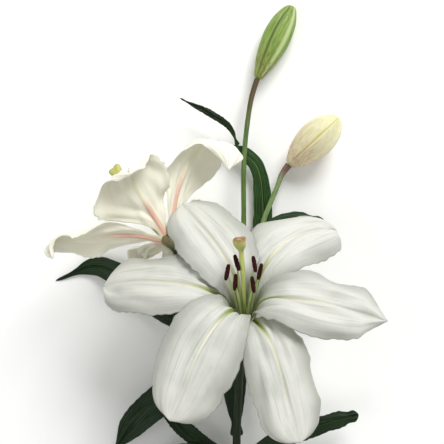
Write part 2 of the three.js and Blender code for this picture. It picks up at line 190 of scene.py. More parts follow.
# A thin blade over a node's middle surface. form gives its relief, and isUpper says which skin is the upper
# one. shape is how its outline differs: taper is the share of its length that narrows to the tip, flare is a
# side and how much it widens low down, and blunt fills out the end.
def bladePiece(name, parent, form, seed, material, isUpper, shape):
    rings, foot, tip = ringsOf(name, 12, parent)
    spans = [np.linalg.norm(rings[:, k] - rings[:, k + 6], axis=1).sum() for k in range(6)]
    rings = np.roll(rings, -int(np.argmax(spans)), axis=1)
    first = rings[:, :7]
    second = rings[:, [0, 11, 10, 9, 8, 7, 6]]
    if not isUpper(first, second):
        first, second = second, first
    middle = (first + second) / 2
    middle = np.concatenate([np.repeat(foot[None, None], 7, 1), middle, np.repeat(tip[None, None], 7, 1)])
    knots = runOf(middle)
    length = knots[-1]
    rows = form["rows"]
    columns = form["columns"]
    u = np.linspace(0, 1, rows)
    v = np.linspace(-1, 1, columns)
    sheet = spline(knots / length, middle, u)
    sheet = spline(np.linspace(-1, 1, 7), sheet.transpose(1, 0, 2), v).transpose(1, 0, 2)
    lift = spline(knots / length, np.concatenate([first[:1], first, first[-1:]]), u)
    lift = (lift - spline(knots / length, np.concatenate([second[:1], second, second[-1:]]), u))[:, 3]

    def normalsOf(grid):
        normals = unit(np.cross(np.gradient(grid, axis=0), np.gradient(grid, axis=1)))
        normals[0] = normals[1]
        normals[-1] = normals[-2]
        return normals

    spine = sheet[:, columns // 2:columns // 2 + 1]
    slim = np.clip((1 - u) / shape["taper"], 0, 1) ** 0.75
    slim = slim * (1 + shape["blunt"] * rise(u, 0.72, 0.93))
    sheet = spine + (sheet - spine) * slim[:, None, None]
    normals = normalsOf(sheet)
    if (normals[2:-2, columns // 2] * lift[2:-2]).sum() < 0:
        sheet = sheet[:, ::-1]
    flareSide, amount = shape["flare"]
    swell = 1 + amount * (rise(u, 0.12, 0.4) * (1 - rise(u, 0.5, 0.9)))[:, None]
    swell = np.where(np.sign(v) == flareSide, swell, 1)
    sheet = spine + (sheet - spine) * swell[..., None]
    normals = normalsOf(sheet)
    steps = np.linalg.norm(np.diff(sheet, axis=1), axis=2)
    reach = np.concatenate([np.zeros((rows, 1)), np.cumsum(steps, axis=1)], axis=1)
    reach = reach - reach[:, columns // 2:columns // 2 + 1]
    along = u[:, None]
    edge = np.abs(v)[None, :]
    side = np.sign(v)[None, :]
    grown = rise(along, 0.1, 0.45) * (1 - 0.75 * rise(along, 0.86, 1))
    slowest, fastest = form["waves"] * 0.6, form["waves"] * 1.5
    everywhere = along + 0 * edge
    ruffle = waves(everywhere, seed, slowest, fastest)
    ruffle = np.where(side > 0, waves(everywhere, seed + 1, slowest, fastest), ruffle)
    height = form["ruffle"] * ruffle * edge ** 2.5 * grown
    dents = waves(along * 2 + side * edge * 1.3, seed + 2, 0.5, 1.6)
    height = height + form["dent"] * dents * grown * (1 - edge ** 4)
    valley = np.exp(-((np.abs(reach) - form["valleyAt"]) / form["valleyWidth"]) ** 2)
    height = height - form["valley"] * valley * rise(along, 0.08, 0.3) * (1 - rise(along, 0.7, 0.95))
    height = height + form["pillow"] * np.sin(math.pi * edge ** 0.8) * grown
    sway = form["ragged"] * waves(along + side * 3 + 0 * edge, seed + 3, 6, 22, 8) * edge ** 6 * grown
    sheet = sheet + normals * height[..., None]
    sheet = sheet + unit(np.gradient(sheet, axis=1)) * (sway * side)[..., None]
    normals = normalsOf(sheet)

    ribbed = rise(along, 0.01, 0.08) * (1 - rise(along, 0.72, 0.97))
    wander = 0.6 * waves(everywhere, seed + 4, 0.5, 2)
    folds = np.cos(2 * math.pi * form["furrows"] * edge ** 0.85 + wander)
    folds = folds * rise(edge, 0.1, 0.3) * (1 - rise(edge, 0.75, 1)) * grown
    relief = form["furrow"] * folds
    groove = np.exp(-(reach / form["grooveWidth"]) ** 2) * ribbed
    ridge = np.exp(-((np.abs(reach) - form["ridgeAt"]) / form["ridgeWidth"]) ** 2) * ribbed
    body = form["edgeThickness"] + (form["thickness"] - form["edgeThickness"]) * (1 - edge ** 3)
    body = body * rise(np.minimum(along, 1 - along), -0.01, 0.03)
    crest = relief - form["groove"] * groove + form["ridge"] * ridge
    upper = sheet + normals * (body / 2 + crest)[..., None]
    lower = sheet - normals * (body / 2 - relief + form["keel"] * groove)[..., None]

    top = gridIds(rows, columns)
    under = top.copy()
    under[1:-1, 1:-1] = top.max() + 1 + np.arange((rows - 2) * (columns - 2)).reshape(rows - 2, columns - 2)
    places = np.zeros((under.max() + 1, 3))
    places[under] = lower
    places[top] = upper
    places[top[1:-1, 0]] = sheet[1:-1, 0]
    places[top[1:-1, -1]] = sheet[1:-1, -1]
    places[0] = foot
    places[1] = tip
    across = np.zeros(len(places))
    across[under] = reach / mm
    across[top] = reach / mm
    outer = np.ones(len(places))
    outer[top] = 0
    outer[top[:, 0]] = 0.5
    outer[top[:, -1]] = 0.5
    faces = []
    corners = []
    addSheet(faces, corners, top, u, (v + 1) / 2)
    addSheet(faces, corners, under, u, (v + 1) / 2, True)
    return makePiece(name + "_skin", places, faces, corners, {"across": across, "outer": outer}, material)


# A closed round skin over a node's rings. relief gives how far each point stands out, from its place along
# and round; rows and around are the mesh's own counts.
def roundPiece(name, sides, parent, rows, around, relief, material, flatFoot=False):
    rings, foot, tip = ringsOf(name, sides, parent)
    waveSet = np.fft.rfft(rings, axis=1) / sides
    turn = np.arange(around) / around * 2 * math.pi
    order = np.arange(waveSet.shape[1])
    weight = np.where((order == 0) | (2 * order == sides), 1, 2)
    swing = np.exp(1j * turn[:, None] * order[None, :]) * weight
    loops = np.einsum("ak,nkc->nac", swing, waveSet).real
    centres = rings.mean(axis=1)
    if flatFoot:
        ends = [loops, np.repeat(tip[None, None], around, 1)]
        middles = np.concatenate([centres, tip[None]])
    else:
        ends = [np.repeat(foot[None, None], around, 1), loops, np.repeat(tip[None, None], around, 1)]
        middles = np.concatenate([foot[None], centres, tip[None]])
    stack = np.concatenate(ends)
    knots = runOf(stack)
    length = knots[-1]
    u = np.linspace(0, 1, rows)
    grid = spline(knots / length, stack, u)
    centre = spline(knots / length, middles, u)[:, None]
    normals = unit(np.cross(np.gradient(grid, axis=0), np.roll(grid, -1, 1) - np.roll(grid, 1, 1)))
    if (normals[2:-2] * (grid - centre)[2:-2]).sum() < 0:
        grid = grid[:, ::-1]
        normals = -normals[:, ::-1]
    normals[-1] = normals[-2]
    normals[0] = normals[1]
    grid = grid + normals * relief(u[:, None], turn[None, :])[..., None]
    if flatFoot:
        inner = [foot + (grid[0] - foot) * share for share in (0, 0.3, 0.55, 0.8, 0.93)]
        grid = np.concatenate([np.array(inner), grid])
        u = np.concatenate([np.zeros(5), u])
    rows = len(u)
    grid[0] = grid[0].mean(axis=0)
    grid[-1] = grid[-1].mean(axis=0)
    ids = gridIds(rows, around)
    places = np.zeros((ids.max() + 1, 3))
    places[ids] = grid
    radius = np.linalg.norm(grid - grid.mean(axis=1, keepdims=True), axis=2) / mm
    fibre = np.zeros_like(places)
    lengthwise = length / mm * u[:, None] + 0 * radius
    fibre[ids] = np.stack([radius * np.cos(turn), radius * np.sin(turn), lengthwise], -1)
    share = np.zeros(len(places))
    share[ids] = u[:, None] + 0 * radius
    cut = np.zeros(len(places))
    if flatFoot:
        cut[ids[:5]] = 1
    faces = []
    corners = []
    closed = np.concatenate([ids, ids[:, :1]], axis=1)
    addSheet(faces, corners, closed, u, np.linspace(0, 1, around + 1))
    marks = {"fibre": fibre, "share": share, "cut": cut}
    return makePiece(name + "_skin", places, faces, corners, marks, material)


# a colour as a picture shows it, 0 to 255, turned into the light that it reflects
def paint(red, green, blue):
    linear = []
    for tone in (red / 255, green / 255, blue / 255):
        linear.append(tone / 12.92 if tone < 0.0405 else ((tone + 0.055) / 1.055) ** 2.4)
    return (*linear, 1)


def feed(tree, socket, value):
    if isinstance(value, bpy.types.NodeSocket):
        tree.links.new(value, socket)
    else:
        socket.default_value = value


# one node with its sockets filled; gives back its output
def put(tree, kind, inputs=None, output=0, **settings):
    node = tree.nodes.new(kind)
    for key, value in settings.items():
        setattr(node, key, value)
    for key, value in (inputs or {}).items():
        feed(tree, node.inputs[key], value)
    return node.outputs[output]


def mix(tree, factor, first, second, way="MIX"):
    inputs = {0: factor, 6: first, 7: second}
    return put(tree, "ShaderNodeMix", inputs, 2, data_type="RGBA", blend_type=way)


def sums(tree, operation, first, second=0.0):
    return put(tree, "ShaderNodeMath", {0: first, 1: second}, operation=operation)


def step(tree, value, low, high, start=0.0, end=1.0):
    inputs = {"Value": value, "From Min": low, "From Max": high, "To Min": start, "To Max": end}
    return put(tree, "ShaderNodeMapRange", inputs, interpolation_type="SMOOTHSTEP")


def noise(tree, place, scale, detail=3.0, rough=0.5):
    inputs = {"Vector": place, "Scale": scale, "Detail": detail, "Roughness": rough}
    return put(tree, "ShaderNodeTexNoise", inputs, "Fac")


def mark(tree, name, output="Fac"):
    return put(tree, "ShaderNodeAttribute", None, output, attribute_name=name)


def newSurface(name):
    material = bpy.data.materials.new(name)
    material.use_nodes = True
    tree = material.node_tree
    return material, tree, tree.nodes["Principled BSDF"]


def bump(tree, height, distance, strength=1.0, before=None):
    inputs = {"Height": height, "Distance": distance, "Strength": strength}
    if before is not None:
        inputs["Normal"] = before
    return put(tree, "ShaderNodeBump", inputs, "Normal")


# along 0 to 1 from the foot, across -1 to 1 between the margins
def bladePlace(tree):
    uv = put(tree, "ShaderNodeUVMap", None, "UV", uv_map="UVMap")
    parts = tree.nodes.new("ShaderNodeSeparateXYZ")
    tree.links.new(uv, parts.inputs[0])
    across = sums(tree, "MULTIPLY", sums(tree, "SUBTRACT", parts.outputs[1], 0.5), 2.0)
    return parts.outputs[0], across


def striped(tree, along, across, lengthwise, crosswise):
    inputs = {
        "X": sums(tree, "MULTIPLY", along, lengthwise),
        "Y": sums(tree, "MULTIPLY", across, crosswise),
    }
    return put(tree, "ShaderNodeCombineXYZ", inputs)


# ribFade is where along the petal its rib turns from ribFoot to ribTop, ribWidth is in millimetres
mainPetal = {
    "white": (212, 212, 205), "cool": (190, 192, 184), "marginShade": (156, 158, 150), "marginShadeStrength": 0.8,
    "vein": (162, 169, 156), "throat": (176, 186, 134), "throatTo": 0.33, "greenAndShadedHeart": (84, 100, 44),
    "nectary": (142, 160, 58), "ribFoot": (184, 192, 118), "ribTop": (226, 223, 200),
    "ribFade": (0.16, 0.46), "ribStrength": 0.8, "ribWidth": 3.0, "outerTint": (206, 210, 188),
}
# The side flower's petals are painted lighter than the main flower's, as painted light on petals that lean
# away from the lamps; their pink rib and pink nectary marks are their own colour.
sidePetal = {
    "white": (244, 240, 225), "cool": (228, 228, 210), "marginShade": (230, 228, 208), "marginShadeStrength": 0.5,
    "vein": (208, 208, 184), "throat": (200, 192, 152), "throatTo": 0.16, "greenAndShadedHeart": (206, 196, 158),
    "nectary": (218, 176, 156), "ribFoot": (228, 184, 168), "ribTop": (236, 224, 178),
    "ribFade": (0.22, 0.55), "ribStrength": 0.35, "ribWidth": 1.6, "outerTint": (236, 233, 214),
}


def petalSurface(name, look):
    material, tree, shader = newSurface(name)
    along, across = bladePlace(tree)
    reach = sums(tree, "ABSOLUTE", mark(tree, "across"))
    outer = mark(tree, "outer")
    place = put(tree, "ShaderNodeTexCoord", None, "Object")
    clouds = step(tree, noise(tree, place, 28, 3), 0.4, 0.7)
    colour = mix(tree, clouds, paint(*look["white"]), paint(*look["cool"]))
    veins = noise(tree, striped(tree, along, across, 2.2, 22), 1.0, 4, 0.55)
    fine = noise(tree, striped(tree, along, across, 6, 70), 1.0, 2)
    lines = step(tree, veins, 0.5, 0.68)
    colour = mix(tree, sums(tree, "MULTIPLY", lines, 0.45), colour, paint(*look["vein"]))
    # painted shade: each petal is darkened towards its edges, most strongly on the main flower
    marginShade = step(tree, sums(tree, "ABSOLUTE", across), 0.35, 1.0, 0.0, look["marginShadeStrength"])
    colour = mix(tree, marginShade, colour, paint(*look["marginShade"]))
    deep = step(tree, along, 0.04, look["throatTo"], 1.0, 0.0)
    patchy = sums(tree, "MULTIPLY", deep, step(tree, veins, 0.25, 0.6, 0.6, 1.0))
    colour = mix(tree, patchy, colour, paint(*look["throat"]))
    # the throat's own green, darkened with painted shade deep at the heart of the flower
    colour = mix(tree, step(tree, along, 0.05, 0.27, 0.9, 0.0), colour, paint(*look["greenAndShadedHeart"]))
    colour = mix(tree, sums(tree, "MULTIPLY", outer, 0.5), colour, paint(*look["outerTint"]))
    ribWidth = step(tree, along, 0.0, 0.8, look["ribWidth"], 1.0)
    rib = step(tree, sums(tree, "DIVIDE", reach, ribWidth), 0.35, 1.0, 1.0, 0.0)
    ribTurns = step(tree, along, *look["ribFade"])
    ribColour = mix(tree, ribTurns, paint(*look["ribFoot"]), paint(*look["ribTop"]))
    rib = sums(tree, "MULTIPLY", rib, step(tree, along, look["ribFade"][1], 0.95, look["ribStrength"], 0.0))
    colour = mix(tree, rib, colour, ribColour)
    nectary = step(tree, reach, 0.9, 2.6, 0.95, 0.0)
    nectary = sums(tree, "MULTIPLY", nectary, step(tree, along, 0.26, 0.48, 1.0, 0.0))
    colour = mix(tree, nectary, colour, paint(*look["nectary"]))
    feed(tree, shader.inputs["Base Color"], colour)
    rough = step(tree, fine, 0.3, 0.7, 0.42, 0.56)
    feed(tree, shader.inputs["Roughness"], rough)
    cells = put(tree, "ShaderNodeTexVoronoi", {"Vector": place, "Scale": 1500.0}, "Distance")
    relief = sums(tree, "ADD", veins, sums(tree, "MULTIPLY", fine, 0.35))
    normal = bump(tree, relief, 0.0006, 0.55)
    feed(tree, shader.inputs["Normal"], bump(tree, cells, 0.00006, 0.5, normal))
    shader.inputs["Subsurface Weight"].default_value = 0.25
    shader.inputs["Subsurface Radius"].default_value = (1.0, 1.0, 0.75)
    shader.inputs["Subsurface Scale"].default_value = 0.0018
    shader.inputs["Specular IOR Level"].default_value = 0.35
    shader.inputs["Sheen Weight"].default_value = 0.08
    return material


leafLooks = {
    "dark": {
        "body": (20, 40, 17), "deep": (9, 23, 9), "vein": (50, 78, 40),
        "rib": (48, 70, 36), "under": (58, 82, 50),
    },
    "bright": {
        "body": (36, 70, 28), "deep": (18, 42, 15), "vein": (80, 116, 56),
        "rib": (120, 144, 84), "under": (84, 110, 66),
    },
    "pale": {
        "body": (42, 66, 40), "deep": (24, 45, 24), "vein": (66, 90, 56),
        "rib": (78, 102, 62), "under": (84, 106, 76),
    },
}


def leafSurface(name, look):
    material, tree, shader = newSurface(name)
    along, across = bladePlace(tree)
    reach = sums(tree, "ABSOLUTE", mark(tree, "across"))
    outer = mark(tree, "outer")
    place = put(tree, "ShaderNodeTexCoord", None, "Object")
    blotch = noise(tree, place, 70, 4, 0.6)
    colour = mix(tree, step(tree, blotch, 0.35, 0.7), paint(*look["body"]), paint(*look["deep"]))
    streaks = noise(tree, striped(tree, along, across, 3, 26), 1.0, 3)
    streaked = sums(tree, "MULTIPLY", step(tree, streaks, 0.5, 0.72), 0.5)
    colour = mix(tree, streaked, colour, paint(*look["vein"]))
    waveInputs = {
        "Vector": striped(tree, along, across, 0.15, 1.0),
        "Scale": 1.9, "Distortion": 0.6, "Detail": 2.0,
    }
    veins = put(tree, "ShaderNodeTexWave", waveInputs, "Fac", bands_direction="Y")
    narrow = step(tree, veins, 0.86, 1.0)
    colour = mix(tree, sums(tree, "MULTIPLY", narrow, 0.7), colour, paint(*look["vein"]))
    colour = mix(tree, sums(tree, "MULTIPLY", outer, 0.75), colour, paint(*look["under"]))
    ribWidth = step(tree, along, 0.0, 1.0, 1.1, 0.35)
    rib = step(tree, sums(tree, "DIVIDE", reach, ribWidth), 0.3, 1.0, 0.85, 0.0)
    colour = mix(tree, rib, colour, paint(*look["rib"]))
    foot = step(tree, along, 0.0, 0.16, 0.7, 0.0)
    colour = mix(tree, foot, colour, paint(*look["vein"]))
    feed(tree, shader.inputs["Base Color"], colour)
    feed(tree, shader.inputs["Roughness"], step(tree, blotch, 0.3, 0.7, 0.34, 0.5))
    normal = bump(tree, veins, 0.00025, 0.7)
    normal = bump(tree, streaks, 0.00035, 0.6, normal)
    pores = put(tree, "ShaderNodeTexVoronoi", {"Vector": place, "Scale": 1300.0}, "Distance")
    feed(tree, shader.inputs["Normal"], bump(tree, pores, 0.00005, 0.5, normal))
    shader.inputs["Specular IOR Level"].default_value = 0.2
    shader.inputs["Coat Weight"].default_value = 0.04
    shader.inputs["Coat Roughness"].default_value = 0.35
    return material


# A ridged green skin along a stalk: looks run from the foot's colour to the tip's
def stalkSurface(name, look):
    material, tree, shader = newSurface(name)
    fibre = mark(tree, "fibre", "Vector")
    share = mark(tree, "share")
    long = put(tree, "ShaderNodeVectorMath", {0: fibre, 1: (1.6, 1.6, 0.12)}, operation="MULTIPLY")
    streaks = noise(tree, long, 1.0, 4, 0.6)
    blotch = noise(tree, fibre, 0.16, 4, 0.6)
    low = mix(tree, step(tree, streaks, 0.4, 0.65), paint(*look["foot"]), paint(*look["footStreak"]))
    high = mix(tree, step(tree, streaks, 0.4, 0.65), paint(*look["top"]), paint(*look["topStreak"]))
    colour = mix(tree, step(tree, share, *look["change"]), low, high)
    tinge = sums(tree, "MULTIPLY", step(tree, blotch, 0.48, 0.7), look["tinge"])
    colour = mix(tree, tinge, colour, paint(*look["tingeColour"]))
    specks = noise(tree, fibre, 2.6, 2)
    colour = mix(tree, step(tree, specks, 0.66, 0.74, 0.0, 0.5), colour, paint(*look["fleck"]))
    feed(tree, shader.inputs["Base Color"], colour)
    feed(tree, shader.inputs["Roughness"], step(tree, blotch, 0.3, 0.7, 0.38, 0.55))
    normal = bump(tree, streaks, 0.0004, 0.6)
    feed(tree, shader.inputs["Normal"], bump(tree, specks, 0.0001, 0.6, normal))
    shader.inputs["Subsurface Weight"].default_value = 0.08
    shader.inputs["Subsurface Scale"].default_value = 0.001
    shader.inputs["Specular IOR Level"].default_value = 0.28
    return material, tree, shader, colour


stemLook = {
    "foot": (26, 42, 15), "footStreak": (14, 26, 8), "top": (30, 47, 17), "topStreak": (18, 32, 10),
    "change": (0.5, 0.95), "tinge": 0.4, "tingeColour": (34, 33, 18), "fleck": (80, 96, 52),
    "pith": (196, 206, 158), "rind": (120, 142, 78), "strand": (146, 160, 96),
}


def stemSurface(name, look):
    material, tree, shader, colour = stalkSurface(name, look)
    fibre = mark(tree, "fibre", "Vector")
    flat = put(tree, "ShaderNodeVectorMath", {0: fibre, 1: (1.0, 1.0, 0.0)}, operation="MULTIPLY")
    radius = put(tree, "ShaderNodeVectorMath", {0: flat}, "Value", operation="LENGTH")
    strands = put(tree, "ShaderNodeTexVoronoi", {"Vector": flat, "Scale": 1.9}, "Distance")
    face = mix(tree, step(tree, radius, 1.9, 2.4), paint(*look["pith"]), paint(*look["rind"]))
    face = mix(tree, step(tree, strands, 0.1, 0.3, 0.8, 0.0), face, paint(*look["strand"]))
    feed(tree, shader.inputs["Base Color"], mix(tree, mark(tree, "cut"), colour, face))
    return material


# stalks and filaments: a tube along a string of points, swollen where the points say so
def tubeTree():
    tree = bpy.data.node_groups.new("ridgedTube", "GeometryNodeTree")
    face = tree.interface
    face.new_socket("Geometry", in_out="OUTPUT", socket_type="NodeSocketGeometry")
    face.new_socket("Path", in_out="INPUT", socket_type="NodeSocketGeometry")
    face.new_socket("Sides", in_out="INPUT", socket_type="NodeSocketInt")
    face.new_socket("Ridges", in_out="INPUT", socket_type="NodeSocketInt")
    face.new_socket("Ridge Depth", in_out="INPUT", socket_type="NodeSocketFloat")
    face.new_socket("Unevenness", in_out="INPUT", socket_type="NodeSocketFloat")
    face.new_socket("Surface", in_out="INPUT", socket_type="NodeSocketMaterial")
    given = tree.nodes.new("NodeGroupInput").outputs
    share = put(tree, "GeometryNodeInputNamedAttribute", {"Name": "share"}, "Attribute", data_type="FLOAT")
    thick = put(tree, "GeometryNodeInputNamedAttribute", {"Name": "thick"}, "Attribute", data_type="FLOAT")
    run = put(tree, "GeometryNodeInputNamedAttribute", {"Name": "run"}, "Attribute", data_type="FLOAT")
    turn = put(tree, "GeometryNodeInputNamedAttribute", {"Name": "turn"}, "Attribute", data_type="FLOAT")
    path = put(tree, "GeometryNodeMeshToCurve", {"Mesh": given["Path"]})
    path = put(tree, "GeometryNodeSetCurveRadius", {"Curve": path, "Radius": thick})
    inputs = {"Resolution": given["Sides"], "Radius": 1.0}
    circle = put(tree, "GeometryNodeCurvePrimitiveCircle", inputs, "Curve")
    angle = sums(tree, "DIVIDE", put(tree, "GeometryNodeInputIndex"), given["Sides"])
    angle = sums(tree, "MULTIPLY", angle, 2 * math.pi)
    inputs = {"Geometry": circle, "Name": "turn", "Value": angle}
    circle = put(tree, "GeometryNodeStoreNamedAttribute", inputs, data_type="FLOAT", domain="POINT")
    inputs = {"Curve": path, "Profile Curve": circle, "Fill Caps": True}
    tube = tree.nodes.new("GeometryNodeCurveToMesh")
    for key, value in inputs.items():
        feed(tree, tube.inputs[key], value)
    if "Scale" in tube.inputs:
        feed(tree, tube.inputs["Scale"], thick)
    inputs = {
        "X": sums(tree, "MULTIPLY", sums(tree, "COSINE", turn), sums(tree, "DIVIDE", thick, mm)),
        "Y": sums(tree, "MULTIPLY", sums(tree, "SINE", turn), sums(tree, "DIVIDE", thick, mm)),
        "Z": run,
    }
    fibre = put(tree, "ShaderNodeCombineXYZ", inputs)
    inputs = {"Geometry": tube.outputs[0], "Name": "fibre", "Value": fibre}
    skin = put(tree, "GeometryNodeStoreNamedAttribute", inputs, data_type="FLOAT_VECTOR", domain="POINT")
    wave = sums(tree, "COSINE", sums(tree, "MULTIPLY", turn, given["Ridges"]))
    wave = sums(tree, "MULTIPLY", wave, given["Ridge Depth"])
    lumps = noise(tree, put(tree, "GeometryNodeInputPosition"), 160.0, 2.0)
    lumps = sums(tree, "MULTIPLY", sums(tree, "SUBTRACT", lumps, 0.5), given["Unevenness"])
    ends = sums(tree, "MULTIPLY", share, sums(tree, "SUBTRACT", 1.0, share))
    ends = put(tree, "ShaderNodeMapRange", {"Value": ends, "From Min": 0.0, "From Max": 0.04})
    out = sums(tree, "MULTIPLY", sums(tree, "ADD", wave, lumps), ends)
    inputs = {0: put(tree, "GeometryNodeInputNormal"), "Scale": out}
    offset = put(tree, "ShaderNodeVectorMath", inputs, operation="SCALE")
    skin = put(tree, "GeometryNodeSetPosition", {"Geometry": skin, "Offset": offset})
    skin = put(tree, "GeometryNodeSetShadeSmooth", {"Geometry": skin, "Shade Smooth": True})
    skin = put(tree, "GeometryNodeRealizeInstances", {"Geometry": skin})
    skin = put(tree, "GeometryNodeSetMaterial", {"Geometry": skin, "Material": given["Surface"]})
    tree.links.new(skin, tree.nodes.new("NodeGroupOutput").inputs[0])
    return tree


# pollen and papillae: small grains over a skin, thickest where its mark called grow is 1
def grainTree():
    tree = bpy.data.node_groups.new("grains", "GeometryNodeTree")
    face = tree.interface
    face.new_socket("Geometry", in_out="OUTPUT", socket_type="NodeSocketGeometry")
    face.new_socket("Skin", in_out="INPUT", socket_type="NodeSocketGeometry")
    face.new_socket("Grains Per Square Millimetre", in_out="INPUT", socket_type="NodeSocketFloat")
    face.new_socket("Grain Size", in_out="INPUT", socket_type="NodeSocketFloat")
    face.new_socket("Stretch", in_out="INPUT", socket_type="NodeSocketFloat")
    face.new_socket("Seed", in_out="INPUT", socket_type="NodeSocketInt")
    face.new_socket("Surface", in_out="INPUT", socket_type="NodeSocketMaterial")
    given = tree.nodes.new("NodeGroupInput").outputs
    grow = put(tree, "GeometryNodeInputNamedAttribute", {"Name": "grow"}, "Attribute", data_type="FLOAT")
    spots = tree.nodes.new("GeometryNodeDistributePointsOnFaces")
    density = sums(tree, "MULTIPLY", given["Grains Per Square Millimetre"], 1e6)
    density = sums(tree, "MULTIPLY", density, grow)
    for key, value in {"Mesh": given["Skin"], "Density": density, "Seed": given["Seed"]}.items():
        feed(tree, spots.inputs[key], value)
    ball = put(tree, "GeometryNodeMeshIcoSphere", {"Radius": given["Grain Size"], "Subdivisions": 1})
    inputs = {2: 0.65, 3: 1.3, "Seed": given["Seed"]}
    size = put(tree, "FunctionNodeRandomValue", inputs, 1, data_type="FLOAT")
    tall = sums(tree, "MULTIPLY", size, given["Stretch"])
    scale = put(tree, "ShaderNodeCombineXYZ", {"X": size, "Y": size, "Z": tall})
    inputs = {
        "Points": spots.outputs["Points"], "Instance": ball,
        "Rotation": spots.outputs["Rotation"], "Scale": scale,
    }
    grains = put(tree, "GeometryNodeInstanceOnPoints", inputs)
    grains = put(tree, "GeometryNodeRealizeInstances", {"Geometry": grains})
    grains = put(tree, "GeometryNodeSetShadeSmooth", {"Geometry": grains, "Shade Smooth": True})
    grains = put(tree, "GeometryNodeSetMaterial", {"Geometry": grains, "Material": given["Surface"]})
    tree.links.new(grains, tree.nodes.new("NodeGroupOutput").inputs[0])
    return tree


# runs a tree over a mesh and gives back its result as a plain piece
def grow(name, mesh, tree, values):
    source = bpy.data.objects.new(name + "Source", mesh)
    bpy.context.scene.collection.objects.link(source)
    modifier = source.modifiers.new("grow", "NODES")
    modifier.node_group = tree
    for item in tree.interface.items_tree:
        if item.in_out == "INPUT" and item.name in values:
            modifier[item.identifier] = values[item.name]
    shown = source.evaluated_get(bpy.context.evaluated_depsgraph_get())
    result = bpy.data.meshes.new_from_object(shown)
    result.name = name
    source.modifiers.remove(modifier)
    bpy.data.objects.remove(source)
    piece = bpy.data.objects.new(name, result)
    bpy.context.scene.collection.objects.link(piece)
    return piece


def tubePiece(name, sides, parent, form, material):
    rings, foot, tip = ringsOf(name, sides, parent)
    centres = rings.mean(axis=1)
    thick = np.linalg.norm(rings - centres[:, None], axis=2).mean(axis=1)
    knots = np.append(0, np.cumsum(np.linalg.norm(np.diff(centres, axis=0), axis=1)))
    at = np.linspace(0, knots[-1], form["rows"])
    line = spline(knots, centres, at)
    thick = np.maximum(spline(knots, thick, at), 0.2 * mm)
    mesh = bpy.data.meshes.new(name)
    mesh.from_pydata(line.tolist(), [(i, i + 1) for i in range(len(at) - 1)], [])
    for key, values in {"thick": thick, "share": at / knots[-1], "run": at / mm}.items():
        mesh.attributes.new(key, "FLOAT", "POINT").data.foreach_set("value", values.astype(np.float32))
    values = {"Sides": form["around"], "Ridges": form["ridges"], "Ridge Depth": form["ridgeDepth"]}
    values.update({"Unevenness": form["unevenness"], "Surface": material})
    return grow(name + "_skin", mesh, tubes, values)


petalForm = {
    "rows": 110, "columns": 57, "ruffle": 1.7 * mm, "waves": 3.0, "dent": 0.8 * mm, "ragged": 0.4 * mm,
    "furrows": 3.5, "furrow": 0.16 * mm, "groove": 0.75 * mm, "grooveWidth": 0.9 * mm,
    "ridge": 0.75 * mm, "ridgeAt": 2.1 * mm, "ridgeWidth": 1.0 * mm, "keel": 0.7 * mm,
    "valley": 1.3 * mm, "valleyAt": 5.8 * mm, "valleyWidth": 2.3 * mm, "pillow": 2.0 * mm,
    "thickness": 1.0 * mm, "edgeThickness": 0.3 * mm,
}
leafForm = {
    "rows": 110, "columns": 33, "ruffle": 0.9 * mm, "waves": 2.0, "dent": 0.3 * mm, "ragged": 0.15 * mm,
    "furrows": 4.0, "furrow": 0.1 * mm, "groove": 0.35 * mm, "grooveWidth": 0.6 * mm,
    "ridge": 0.1 * mm, "ridgeAt": 1.2 * mm, "ridgeWidth": 0.6 * mm, "keel": 0.5 * mm,
    "valley": 0.15 * mm, "valleyAt": 3.5 * mm, "valleyWidth": 1.0 * mm, "pillow": 0.5 * mm,
    "thickness": 0.8 * mm, "edgeThickness": 0.25 * mm,
}

tubes = tubeTree()
grains = grainTree()
flowers = {"main": petalSurface("whitePetal", mainPetal), "side": petalSurface("blushPetal", sidePetal)}
petalShape = {"taper": 0.08, "flare": (1, 0), "blunt": 0}
leafShape = {"taper": 0.22, "flare": (1, 0), "blunt": 0}
ownShapes = {
    "side_tepal_outer_1": {"taper": 0.3},
    "side_tepal_outer_3": {"taper": 0.16, "flare": (1, 0.45)},
    "side_tepal_inner_1": {"flare": (-1, 0.42)},
    "main_tepal_inner_1": {"taper": 0.05, "blunt": 0.35},
    "main_tepal_inner_2": {"taper": 0.16, "blunt": 0.2},
    "main_tepal_outer_1": {"taper": 0.14},
    "main_tepal_outer_2": {"taper": 0.05, "blunt": 0.45},
    "main_tepal_outer_3": {"taper": 0.03, "blunt": 0.5},
    "main_tepal_inner_3": {"taper": 0.04, "blunt": 0.35},
    "leaf_1": {"taper": 0.1, "blunt": 0.5},
    "leaf_2": {"taper": 0.06, "blunt": 0.6},
    "leaf_8": {"taper": 0.05, "blunt": 0.6},
}
seed = 10
for flower, petalMaterial in flowers.items():
    stalk = "stalk_" + flower + "_flower"
    rings, foot, tip = ringsOf(flower + "_pistil", 12, stalk)
    axisAt = foot
    axisWay = unit(rings[8].mean(axis=0) - foot)

    def facesIn(first, second):
        def offAxis(points):
            off = points - axisAt
            return np.linalg.norm(off - (off @ axisWay)[..., None] * axisWay, axis=-1).sum()
        return offAxis(first[2:6, 2:5]) < offAxis(second[2:6, 2:5])

    for whorl in ("inner", "outer"):
        for number in (1, 2, 3):
            name = f"{flower}_tepal_{whorl}_{number}"
            seed += 10
            shape = {**petalShape, **ownShapes.get(name, {})}
            piece = bladePiece(name, stalk, petalForm, seed, petalMaterial, facesIn, shape)
            keepPiece(piece, "petal", name)
print("tepals done")


def looksUp(first, second):
    return first[2:-2, 2:5, 2].sum() > second[2:-2, 2:5, 2].sum()


leafKinds = {kind: leafSurface(kind + "Leaf", look) for kind, look in leafLooks.items()}
leafKind = {"leaf_1": "bright", "leaf_2": "pale", "leaf_7": "pale"}
for name in ["bract"] + [f"leaf_{number}" for number in range(1, 12)]:
    seed += 10
    parent = "stalk_green_bud" if name == "bract" else "stem"
    shape = {**leafShape, **ownShapes.get(name, {})}
    piece = bladePiece(name, parent, leafForm, seed, leafKinds[leafKind.get(name, "dark")], looksUp, shape)
    keepPiece(piece, "leaf", name)
print("leaves done")


